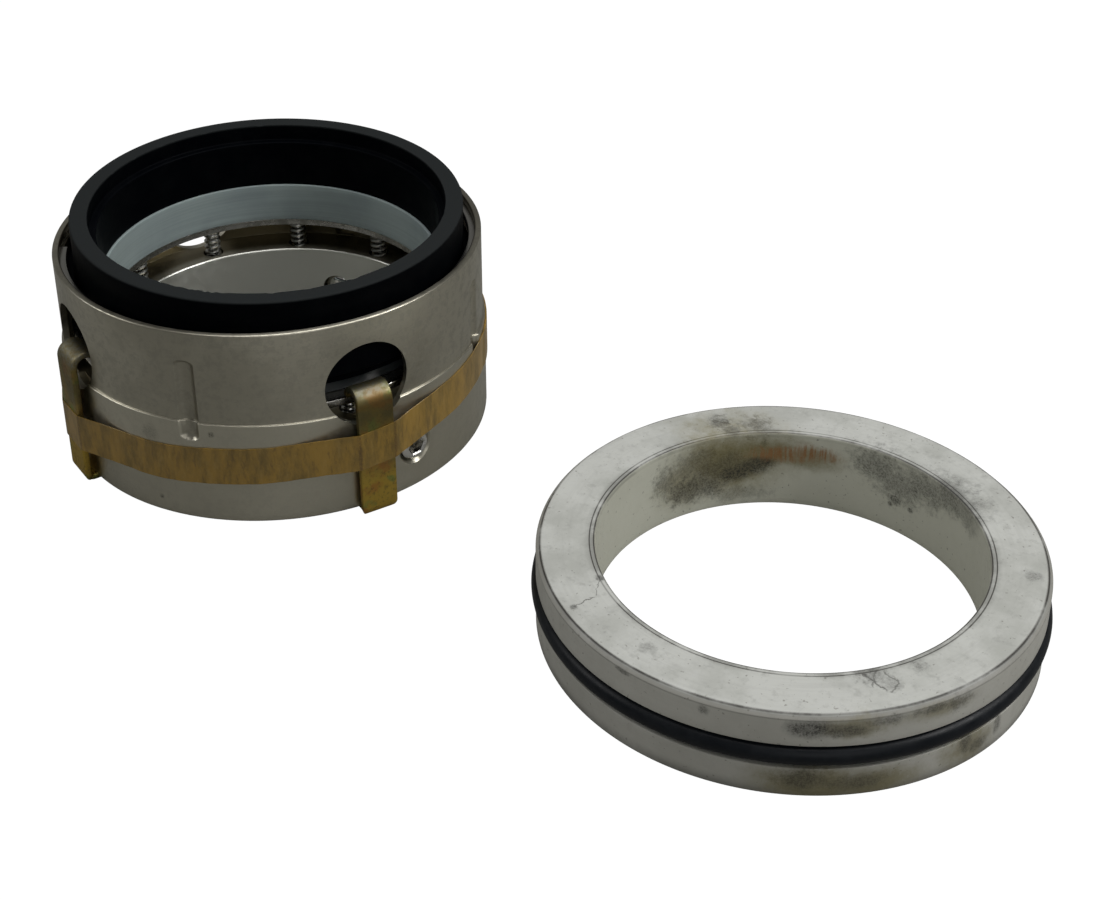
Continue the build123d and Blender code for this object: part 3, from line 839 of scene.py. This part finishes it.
clip_degs = (337.0, 250.0)
clip_gauge = 1.2 * mm
clip_half_width = 3.55 * mm
strip_middle = collar_radius + 1.0 * mm + clip_gauge / 2
foot_line = -clip_gauge / 2
foot_start = collar_radius - 4.5 * mm
foot_bend = 1.5 * mm
hook_bend = 2.35 * mm
clip_corner = 1.2 * mm
tip_round = 0.5 * mm


def rounded_off(reach, radius):
    """How far a quarter circle falls away from its square corner, at a distance in from the end."""
    return radius - np.sqrt(np.maximum(radius**2 - (radius - reach) ** 2, 0))


def clip_points(deg, hook_end):
    """A bent strip: its middle line runs out along the foot, up round the heel, up the strip and
    over in a half circle to the hook's end. A rounded section stands across it at every point. It
    narrows in quarter circles at the foot's end and where the strip passes into the foot."""
    foot = np.linspace(foot_start, strip_middle - foot_bend, 14)
    ease = np.linspace(0, 1, 9)[1:-1] ** 2 * clip_corner + foot_start
    foot = np.unique(np.concatenate([foot, ease]))
    heel = np.linspace(0, math.pi / 2, 12)[1:]
    strip = np.linspace(foot_line + foot_bend, hook_end, 26)[1:]
    hook = np.linspace(0, math.pi, 24)[1:]
    hook_centre = strip_middle - hook_bend
    hook_r = hook_centre + hook_bend * np.cos(hook)
    heel_r = strip_middle - foot_bend + foot_bend * np.sin(heel)
    heel_z = foot_line + foot_bend * (1 - np.cos(heel))
    line_r = np.concatenate([foot, heel_r, strip_middle + 0 * strip, hook_r])
    line_z = np.concatenate([foot_line + 0 * foot, heel_z, strip, hook_end + hook_bend * np.sin(hook)])
    facing = np.concatenate([-math.pi / 2 + 0 * foot, -math.pi / 2 + heel, 0 * strip, hook])
    run = np.concatenate([[0], np.cumsum(np.hypot(np.diff(line_r), np.diff(line_z)))])
    narrow = rounded_off(np.minimum(run, clip_corner), clip_corner)
    up_strip = np.clip(line_z - foot_line - 0.1 * mm, 0, clip_corner)
    narrow = narrow + np.minimum(rounded_off(up_strip, clip_corner), 0.9 * mm)
    narrow = np.maximum(narrow, rounded_off(np.minimum(run[-1] - run, tip_round), tip_round))
    half = clip_gauge / 2
    wide_half = clip_half_width
    corners = [(half, -wide_half), (half, wide_half), (-half, wide_half), (-half, -wide_half)]
    section = filled_outline(corners, 0.28 * mm, 0.9 * mm, steps=3)
    off = np.broadcast_to(section[None, :, 0], (len(run), len(section)))
    wide = np.sign(section[:, 1]) * np.maximum(np.abs(section[:, 1])[None] - narrow[:, None], 0)
    off = np.vstack([0 * off[:1], off, 0 * off[:1]])
    wide = np.vstack([0.8 * wide[:1], wide, 0.8 * wide[-1:]])
    line_r, line_z, facing = (np.concatenate([v[:1], v, v[-1:]])[:, None] for v in (line_r, line_z, facing))
    radius = line_r + off * np.cos(facing)
    height = line_z + off * np.sin(facing)
    out, side = square_to(deg)
    return out * radius[..., None] + side * wide[..., None] + np.array([0, 0, 1.0]) * height[..., None]


clip_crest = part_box("setting_clip_1")[1].z
zinc, shader, spot = new_material("yellow_zinc_plated", Metallic=1.0)
clouds = node("TexNoise", Vector=spot, Scale=230.0, Detail=3.0, Roughness=0.6).outputs["Color"]
sheens = node("SeparateColor", Color=clouds).outputs
fine = noise(spot, 1300.0, 4.0, 0.7)
clip_height = node("SeparateXYZ", Vector=spot).outputs[2]
bent = ramp(clip_height, clip_crest - 1.8 * mm, clip_crest - 0.5 * mm)
tone = layered(
    (0.38, 0.27, 0.085),
    (ramp(sheens[0], 0.4, 0.62), (0.25, 0.20, 0.09)),
    (ramp(clip_height, 12 * mm, 6 * mm, 0.85), (0.62, 0.43, 0.08)),
    (ramp(sheens[1], 0.52, 0.64, 0.7), (0.26, 0.34, 0.10)),
    (ramp(sheens[2], 0.52, 0.68, 0.6), (0.46, 0.19, 0.06)),
    (ramp(fine, 0.5, 0.7, 0.6), (0.16, 0.12, 0.055)),
    (ramp(clip_height, 15 * mm, 20 * mm, 0.5), (0.13, 0.115, 0.045)),
    (times(bent, ramp(fine, 0.62, 0.4, 0.9, 0.3)), (0.24, 0.23, 0.18)),
)
finished(shader, tone, ramp(fine, 0.3, 0.8, 0.58, 0.42), fine, 0.00001, 0.3)
for number, deg in enumerate(clip_degs, start=1):
    clip = f"setting_clip_{number}"
    hook_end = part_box(clip)[1].z - hook_bend - clip_gauge / 2
    clip_mesh = grid_mesh(clip + "_strip", clip_points(deg, hook_end), wrap_rows=False)
    shown(clip + "_strip", clip_mesh, zinc, "housing", "yellow_zinc_steel", clip)

# ---- Tape ----
# One turn and a bit of amber adhesive tape, pulled taut round the collar, the two clips and the
# screws' ends. It was wound on by hand, so it runs askew and its edges wander.

tape_thickness = 0.15 * mm
tape_width = 7.8 * mm
tape_height = 13.2 * mm
tape_lean = math.radians(3.6)
tape_low_side = math.radians(235.0)
tape_end = math.radians(28.0)
tape_overlap = math.radians(34.0)
tape_clearance = 0.2 * mm
over_clip = 43.65 * mm
over_screw = screw_end + tape_clearance


def taut_radius(angle):
    """The radius of a band pulled taut round the collar, the clips and the screws' ends. A taut band
    is the smallest outline that holds them all: at each angle it is the least, over all directions,
    of their furthest reach in that direction divided by the cosine of the angle between."""
    direction = np.radians(np.arange(0, 360, 0.5))
    reach = np.full_like(direction, collar_radius + tape_clearance)
    held = [(deg, over_clip, clip_half_width) for deg in clip_degs]
    held += [(deg, over_screw, screw_radius - 0.7 * mm) for deg in screw_degs]
    for deg, far, half in held:
        for side in (-half, half):
            corner = math.hypot(far, side)
            toward = math.radians(deg) + math.atan2(side, far)
            reach = np.maximum(reach, corner * np.cos(direction - toward))
    cosine = np.cos(direction[:, None] - angle[None])
    return np.where(cosine > 0.5, reach[:, None] / np.maximum(cosine, 0.5), 1.0).min(0)


def capped(column):
    """A column of points all moved to their middle, which closes the band's end."""
    return column.mean(0, keepdims=True).repeat(len(column), 0)


tape_angles = np.linspace(tape_end, tape_end + 2 * math.pi + tape_overlap, 660)
tape_radius = taut_radius(tape_angles)
lap = np.clip((tape_angles - tape_end - 2 * math.pi + 0.02) / 0.03, 0, 1)
random = np.random.default_rng(11)
wander, frill = (
    sum(
        random.uniform(-far, far) * mm * np.sin(k * tape_angles + random.uniform(0, 6)) for k in waves
    )
    for far, waves in ((0.07, (2, 3, 5, 8, 13)), (0.03, (21, 34, 55, 89)))
)
tape_outline = filled_outline([(-1, -0.5), (0, -0.5), (0, 0.5), (-1, 0.5)], 0.01, 0.08)
deep, across = turning(tape_outline, tape_angles)[:2]
band_r = tape_radius + lap * (tape_thickness + 0.02 * mm) + deep * tape_thickness
band_x, band_y = band_r * np.cos(tape_angles), band_r * np.sin(tape_angles)
downhill = band_x * math.cos(tape_low_side) + band_y * math.sin(tape_low_side)
band_z = tape_height + (across * (tape_width - 0.3 * mm) / math.cos(tape_lean))
band_z = band_z - math.tan(tape_lean) * downhill
band_z = band_z + wander + frill * np.sign(across)
tape_grid = np.stack([band_x, band_y, band_z], -1)
tape_grid = np.concatenate([capped(tape_grid[:, :1]), tape_grid, capped(tape_grid[:, -1:])], axis=1)
tape_mesh = grid_mesh("tape_band", tape_grid, wrap_columns=False)
amber, shader, spot = new_material(
    "amber_tape_film", Specular_IOR_Level=0.55, Coat_Weight=0.25, Coat_Roughness=0.2
)
upright_spot = node("Mapping", Vector=spot, Scale=(1.0, 1.0, 0.3)).outputs[0]
clouds = noise(upright_spot, 260.0, 7.0, 0.75)
crease = noise(upright_spot, 900.0, 4.0, 0.65)
# Painted shade: dark lines in the tape along both edges of each clip, where it bends over them.
clip_edge_painted_shade = [
    (around(43.6 * mm, deg + side, tape_height), (0.32 * mm, 0.32 * mm, 9.0 * mm), 500.0, 0.3, 0.8)
    for deg in clip_degs
    for side in (-4.66, 4.66)
]
tone = layered(
    (0.32, 0.190, 0.030),
    (ramp(clouds, 0.38, 0.64), (0.175, 0.112, 0.022)),
    (ramp(crease, 0.5, 0.72, 0.35), (0.40, 0.26, 0.07)),
    (ramp(crease, 0.46, 0.34, 0.45), (0.11, 0.068, 0.018)),
    (smudges(spot, clip_edge_painted_shade), (0.075, 0.04, 0.012)),
)
finished(shader, tone, ramp(clouds, 0.3, 0.75, 0.5, 0.3), crease, 0.00005, 0.35)
shown("tape_band", tape_mesh, amber, "housing", "amber_tape", "tape")

# ---- Seat ring ----
# The stationary face: a thick off-white ring, ground all over and lapped on top, with a groove for
# its O-ring. It stands beside the head. It has been handled and stained a little in its bore.

seat_low, seat_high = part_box("seat_ring")
seat_middle = (seat_low.x + seat_high.x) / 2
seat_radius = (seat_high.x - seat_low.x) / 2
seat_bore_radius = seat_radius - 9.95 * mm
seat_floor = seat_low.z
seat_top = seat_high.z
groove_low = seat_floor + 5.5 * mm
groove_high = seat_floor + 9.8 * mm
groove_radius = 40.0 * mm
seat_chamfer = 0.7 * mm
seat_outline = filled_outline(
    [
        (seat_bore_radius, seat_floor), (seat_radius, seat_floor), (seat_radius, groove_low),
        (groove_radius, groove_low), (groove_radius, groove_high), (seat_radius, groove_high),
        (seat_radius, seat_top - seat_chamfer), (seat_radius - seat_chamfer, seat_top),
        (seat_bore_radius, seat_top),
    ],
    np.array([0.35, 0.35, 0.2, 0.25, 0.25, 0.2, 0.25, 0.25, 0.35]) * mm,
    1.0 * mm,
)
seat_centre = np.array([seat_middle, 0, 0])
seat_mesh = grid_mesh("seat_ring_body", swept(*turning(seat_outline, every_degree)) + seat_centre)
ceramic, shader, spot = new_material("ceramic_lapped", Specular_IOR_Level=0.45)
rings, seat_reach = ring_marks(spot, 1500.0, 60.0, seat_centre)
seat_height = node("SeparateXYZ", Vector=spot).outputs[2]
broad = noise(spot, 75.0, 6.0, 0.65)
fine = noise(spot, 420.0, 6.0, 0.7)


def near_edge(value, middle, half_width):
    """One where a value is at the middle, falling smoothly to nought a half width either side."""
    return ramp(maths("ABSOLUTE", maths("SUBTRACT", value, middle)), half_width, 0.0)


on_top = ramp(seat_height, seat_top - 1.1 * mm, seat_top - 0.7 * mm)
on_wall = ramp(seat_reach, seat_radius - 0.6 * mm, seat_radius - 0.2 * mm)
in_bore = ramp(seat_reach, seat_bore_radius + 0.2 * mm, seat_bore_radius + 0.04 * mm)
uneven = ramp(broad, 0.36, 0.54, 1.0, 0.5)
inner_line = most(
    near_edge(seat_reach, seat_bore_radius + 0.22 * mm, 0.3 * mm),
    near_edge(seat_reach, seat_bore_radius + 0.95 * mm, 0.24 * mm),
)
inner_smear = near_edge(seat_reach, seat_bore_radius + 0.4 * mm, 1.7 * mm)
inner_smear = times(inner_smear, times(ramp(broad, 0.42, 0.58), 0.4))
outer_line = times(near_edge(seat_reach, seat_radius - 0.68 * mm, 0.38 * mm), uneven)
chamfer = times(ramp(seat_reach, seat_radius - 0.6 * mm, seat_radius - 0.4 * mm), 0.42)
outer_line = most(outer_line, chamfer)
edges = times(most(times(inner_line, uneven), inner_smear, outer_line), on_top)
# The outer wall is darker towards its foot.
foot_darkening = times(ramp(seat_height, seat_floor + 2.5 * mm, seat_floor), on_wall)
edges = most(edges, times(foot_darkening, times(uneven, 0.45)))
specks = noise(spot, 1500.0, 2.0)


def seat_marks(bore=(), top=(), wall=()):
    """Smudges on the seat's bore, lapped face and outer wall. A row gives the angle and the height,
    or on the face the radius and the angle; then the size, grain, raggedness and strength."""
    rows = [(seat_bore_radius, deg, height * mm, *rest) for deg, height, *rest in bore]
    rows += [(reach * mm, deg, seat_top, wide, wide, *rest) for reach, deg, wide, *rest in top]
    rows += [(seat_radius, deg, height * mm, *rest) for deg, height, *rest in wall]
    return [
        (around(radius, deg, height, seat_middle), (wide * mm, wide * mm, tall * mm), *rest)
        for radius, deg, height, wide, tall, *rest in rows
    ]


def scratch(start, end, half_width):
    """One along a wavering line between two places on the lapped face, each a radius and an angle,
    and nought off it: the distance across the line is pushed about by noise before it is read."""
    begin, finish = (
        np.array(around(radius * mm, deg, seat_top, seat_middle)) for radius, deg in (start, end)
    )
    length = np.linalg.norm(finish - begin)
    way = (finish - begin) / length
    away = vector_maths("SUBTRACT", spot, begin)
    along = vector_maths("DOT_PRODUCT", away, way)
    across = vector_maths("DOT_PRODUCT", away, (-way[1], way[0], 0))
    waver = maths("MULTIPLY_ADD", fine, 2.4 * mm, maths("SUBTRACT", across, 1.2 * mm))
    line = near_edge(waver, 0.0, half_width)
    ends = ramp(near_edge(along, length / 2, length / 2 + 0.3 * mm), 0.0, 0.2)
    return times(line, times(ends, on_top))


scratches = 0.0
for start, end, half_width, strength in [
    ((40.6, 240.4), (36.2, 238.8), 0.17 * mm, 0.9),
    ((36.2, 238.8), (33.6, 232.0), 0.15 * mm, 0.7),
    ((33.5, 317.0), (38.6, 320.5), 0.3 * mm, 0.75),
    ((33.6, 321.5), (37.2, 317.5), 0.26 * mm, 0.6),
    ((38.8, 321.0), (37.6, 324.5), 0.3 * mm, 0.65),
    ((37.4, 324.5), (34.2, 322.5), 0.28 * mm, 0.6),
    ((36.6, 136.0), (38.4, 141.0), 0.3 * mm, 0.6),
]:
    scratches = most(scratches, times(scratch(start, end, half_width), strength))
brown = seat_marks(
    bore=[
        (148, 8, 8, 5.4, 90, 0.5, 0.75), (138, 8.8, 9, 6.2, 110, 0.45, 1), (128, 10, 7.5, 4, 150, 0.5, 1),
        (115, 9.4, 7, 2.2, 200, 0.5, 0.8),
    ],
    wall=[
        (304, 1.2, 8, 3.2, 150, 0.4, 0.9), (315, 0.9, 8, 2.4, 170, 0.4, 0.85),
        (339, 2.2, 5, 2.8, 220, 0.6, 0.7), (312, 12, 5, 1.6, 260, 0.6, 0.7),
        (331, 12.4, 5, 1.2, 260, 0.6, 0.6),
    ],
)
rust = seat_marks(
    bore=[
        (121, 9.8, 5.6, 1.6, 500, 0.6, 1), (111, 10.6, 4.6, 1.5, 500, 0.6, 0.95),
    ],
)
black = seat_marks(
    bore=[
        (136.5, 6, 3.6, 1.6, 240, 0.4, 0.98), (132, 6.9, 3.6, 1.5, 260, 0.4, 0.97),
        (128, 7.9, 2.8, 1.2, 260, 0.5, 0.95), (141, 7.4, 5, 3, 180, 0.7, 0.65),
        (147, 4.2, 4.4, 2.2, 420, 1.1, 0.8), (153, 4.6, 4, 2.6, 520, 1.3, 0.8),
        (151, 9.8, 4, 2.4, 420, 1.3, 0.5), (162, 8, 2.4, 3, 700, 1.4, 0.6),
        (134, 1.4, 5, 1.4, 600, 1.1, 0.45), (90, 11, 4.4, 3, 700, 0.9, 0.75), (82, 9, 5, 3.4, 700, 1, 0.7),
        (72, 11, 4.6, 3, 600, 0.9, 0.75), (61, 12.6, 4.4, 2.6, 500, 0.8, 0.75),
        (52, 12.8, 4, 2.4, 500, 0.8, 0.6), (83, 5.6, 1.5, 1, 700, 0.8, 0.9),
        (77, 5, 0.6, 0.5, 700, 0.4, 0.97), (84.5, 4.4, 0.5, 0.5, 700, 0.4, 0.95),
        (76, 9.6, 0.8, 0.6, 700, 0.5, 0.9),
    ],
    top=[
        (37.7, 139, 1.9, 700, 1, 0.75), (35.7, 129, 2.6, 600, 1.1, 0.65), (34.6, 137, 1.6, 700, 1.1, 0.65),
        (34.2, 319.5, 2, 420, 1.2, 0.6), (37, 322.5, 1.5, 520, 1.4, 0.45), (35.3, 332, 1.2, 600, 1.2, 0.6),
        (39.5, 21, 1.2, 600, 1.2, 0.5), (37, 262, 1.2, 600, 1.2, 0.45), (40.5, 240.3, 0.5, 700, 0.8, 0.95),
        (33.7, 232, 0.7, 700, 0.8, 0.9),
    ],
    wall=[
        (303, 12, 3.4, 1.5, 300, 0.5, 0.95), (309, 11.6, 3.6, 0.9, 420, 0.8, 0.75),
        (318, 12.8, 2.6, 0.8, 500, 0.8, 0.6), (328, 12.9, 2.6, 0.7, 500, 0.8, 0.7),
        (335, 12.4, 2, 1.3, 500, 0.9, 0.65), (302, 2.4, 3.6, 1.9, 300, 0.7, 0.7),
        (313, 1.4, 4.2, 1.5, 300, 0.7, 0.6), (338, 3.2, 1.2, 2, 500, 0.6, 0.8),
        (342, 1.6, 1.6, 1.2, 500, 0.7, 0.7), (348, 3.4, 0.8, 2.2, 600, 0.6, 0.7),
        (281, 12.6, 0.8, 0.8, 600, 0.7, 0.7), (262, 13.2, 1.2, 0.4, 600, 0.7, 0.8),
    ],
)
hatch_spot = node("Mapping", Vector=spot, Scale=(1800.0, 1800.0, 160.0)).outputs[0]
hatched = ramp(noise(hatch_spot, 1.0, 3.0, 0.6), 0.4, 0.58, 1.0, 0.25)
tone = layered(
    (0.50, 0.505, 0.475),
    (ramp(broad, 0.38, 0.66), (0.39, 0.395, 0.365)),
    (ramp(fine, 0.5, 0.72, 0.5), (0.27, 0.27, 0.25)),
    (ramp(rings, 0.45, 0.7, 0.18), (0.33, 0.33, 0.31)),
    (times(in_bore, 0.8), (0.60, 0.60, 0.50)),
    (times(on_wall, 0.6), (0.50, 0.485, 0.43)),
    (edges, (0.03, 0.027, 0.022)),
    (ramp(specks, 0.68, 0.74, 0.6), (0.14, 0.13, 0.11)),
    (scratches, (0.05, 0.047, 0.04)),
    (smudges(spot, brown, 0.1), (0.19, 0.165, 0.075)),
    (times(smudges(spot, rust, 0.2), hatched), (0.27, 0.13, 0.045)),
    (smudges(spot, black, 0.5), (0.025, 0.024, 0.02)),
)
finished(shader, tone, ramp(fine, 0.3, 0.7, 0.55, 0.34), fine, 0.00003, 0.25)
shown("seat_ring_body", seat_mesh, ceramic, "housing", "lapped_ceramic", "seat_ring")

# ---- Seat O-ring ----
# A moulded black rubber cord in the seat's groove. It stands out of the groove all round, to seal
# in the gland, and a faint parting line from its mould runs round the outside.

cord_radius = 1.765 * mm
cord_circle = 41.815 * mm
cord_height = seat_floor + 7.65 * mm
cord_turn = np.linspace(0, 2 * math.pi, 28, endpoint=False)
from_parting = np.minimum(cord_turn, 2 * math.pi - cord_turn) / 0.12
cord_bulge = cord_radius - 0.03 * mm + 0.02 * mm * np.exp(-(from_parting**2))
cord_outline = np.stack(
    [cord_circle + cord_bulge * np.cos(cord_turn), cord_height + cord_bulge * np.sin(cord_turn)], -1
)
cord_mesh = grid_mesh("seat_o_ring_cord", swept(*turning(cord_outline, every_degree)) + seat_centre)
rubber, shader, spot = new_material("nitrile_rubber_moulded", Specular_IOR_Level=0.22)
bloom = noise(spot, 240.0, 5.0, 0.65)
grain = noise(spot, 2200.0, 2.0)
tone = blended(ramp(bloom, 0.4, 0.75), (0.0035, 0.005, 0.0075), (0.008, 0.010, 0.013))
finished(shader, tone, ramp(bloom, 0.3, 0.75, 0.5, 0.34), grain, 0.00003, 0.3)
shown("seat_o_ring_cord", cord_mesh, rubber, "housing", "black_rubber", "seat_o_ring")

# ---- Floor, light and camera ----
# A pale table that turns white to the camera, soft light from large panels above it, and the view.
# The panels are placed for the shading, and the camera for the outline.

floor_half = 4.0
floor_corners = [
    (x * floor_half, y * floor_half, cad_box[0][2]) for x, y in ((-1, -1), (1, -1), (1, 1), (-1, 1))
]
floor_mesh = bpy.data.meshes.new("floor")
floor_mesh.from_pydata(floor_corners, [], [(0, 1, 2, 3)])
floor = linked("floor", floor_mesh)
pale = bpy.data.materials.new("floor_pale")
pale.use_nodes = True
tree = pale.node_tree
tree.nodes.clear()
to_camera = tree.nodes.new("ShaderNodeLightPath").outputs["Is Camera Ray"]
plain = node("BsdfDiffuse", tree=tree, Color=(0.22, 0.22, 0.21, 1)).outputs[0]
white = node("Emission", tree=tree, Color=(1, 1, 1, 1), Strength=1.1).outputs[0]
seen = node("MixShader", i0=times(to_camera, 0.93), i1=plain, i2=white)
out = tree.nodes.new("ShaderNodeOutputMaterial")
tree.links.new(seen.outputs[0], out.inputs[0])
floor_mesh.materials.append(pale)

world = bpy.data.worlds.new("studio")
world.use_nodes = True
tree = world.node_tree
tree.nodes.clear()
to_camera = tree.nodes.new("ShaderNodeLightPath").outputs["Is Camera Ray"]
dim = node("Background", tree=tree, Color=(0.15, 0.15, 0.145, 1), Strength=1.0).outputs[0]
bright = node("Background", tree=tree, Color=(1, 1, 1, 1), Strength=1.0).outputs[0]
mixed = node("MixShader", i0=to_camera, i1=dim, i2=bright)
out = tree.nodes.new("ShaderNodeOutputWorld")
tree.links.new(mixed.outputs[0], out.inputs[0])
bpy.context.scene.world = world
bpy.context.scene.view_settings.view_transform = "Standard"


def panel(name, place, aim, size, power):
    """A soft square light at a place, turned to face what it aims at."""
    data = bpy.data.lights.new(name, "AREA")
    data.size = size
    data.energy = power
    lamp = linked(name, data)
    lamp.location = place
    lamp.rotation_euler = (Vector(aim) - Vector(place)).to_track_quat("-Z", "Y").to_euler()


panel("top", (0.05, 0.1, 0.9), (0.05, 0, 0.0), 0.7, 4.7)
panel("left", (-0.6, -0.4, 0.5), (0.0, 0, 0.02), 0.35, 1.2)
panel("right", (0.65, 0.25, 0.55), (0.06, 0, 0.02), 0.3, 2.7)
panel("front", (0.6, -0.45, 0.35), (0.08, 0, 0.02), 0.5, 0.6)

camera_data = bpy.data.cameras.new("camera")
camera_data.lens = 60.0
camera_data.sensor_width = 36.0
camera_data.shift_y = -0.18
camera_data.clip_start = 0.01
camera = linked("camera", camera_data)
camera.location = (0.2283, -0.2289, 0.2018)
turn, pitch = math.radians(125.07), math.radians(-27.69)
facing = Vector((math.cos(pitch) * math.cos(turn), math.cos(pitch) * math.sin(turn), math.sin(pitch)))
camera.rotation_euler = facing.to_track_quat("-Z", "Y").to_euler()
bpy.context.scene.camera = camera
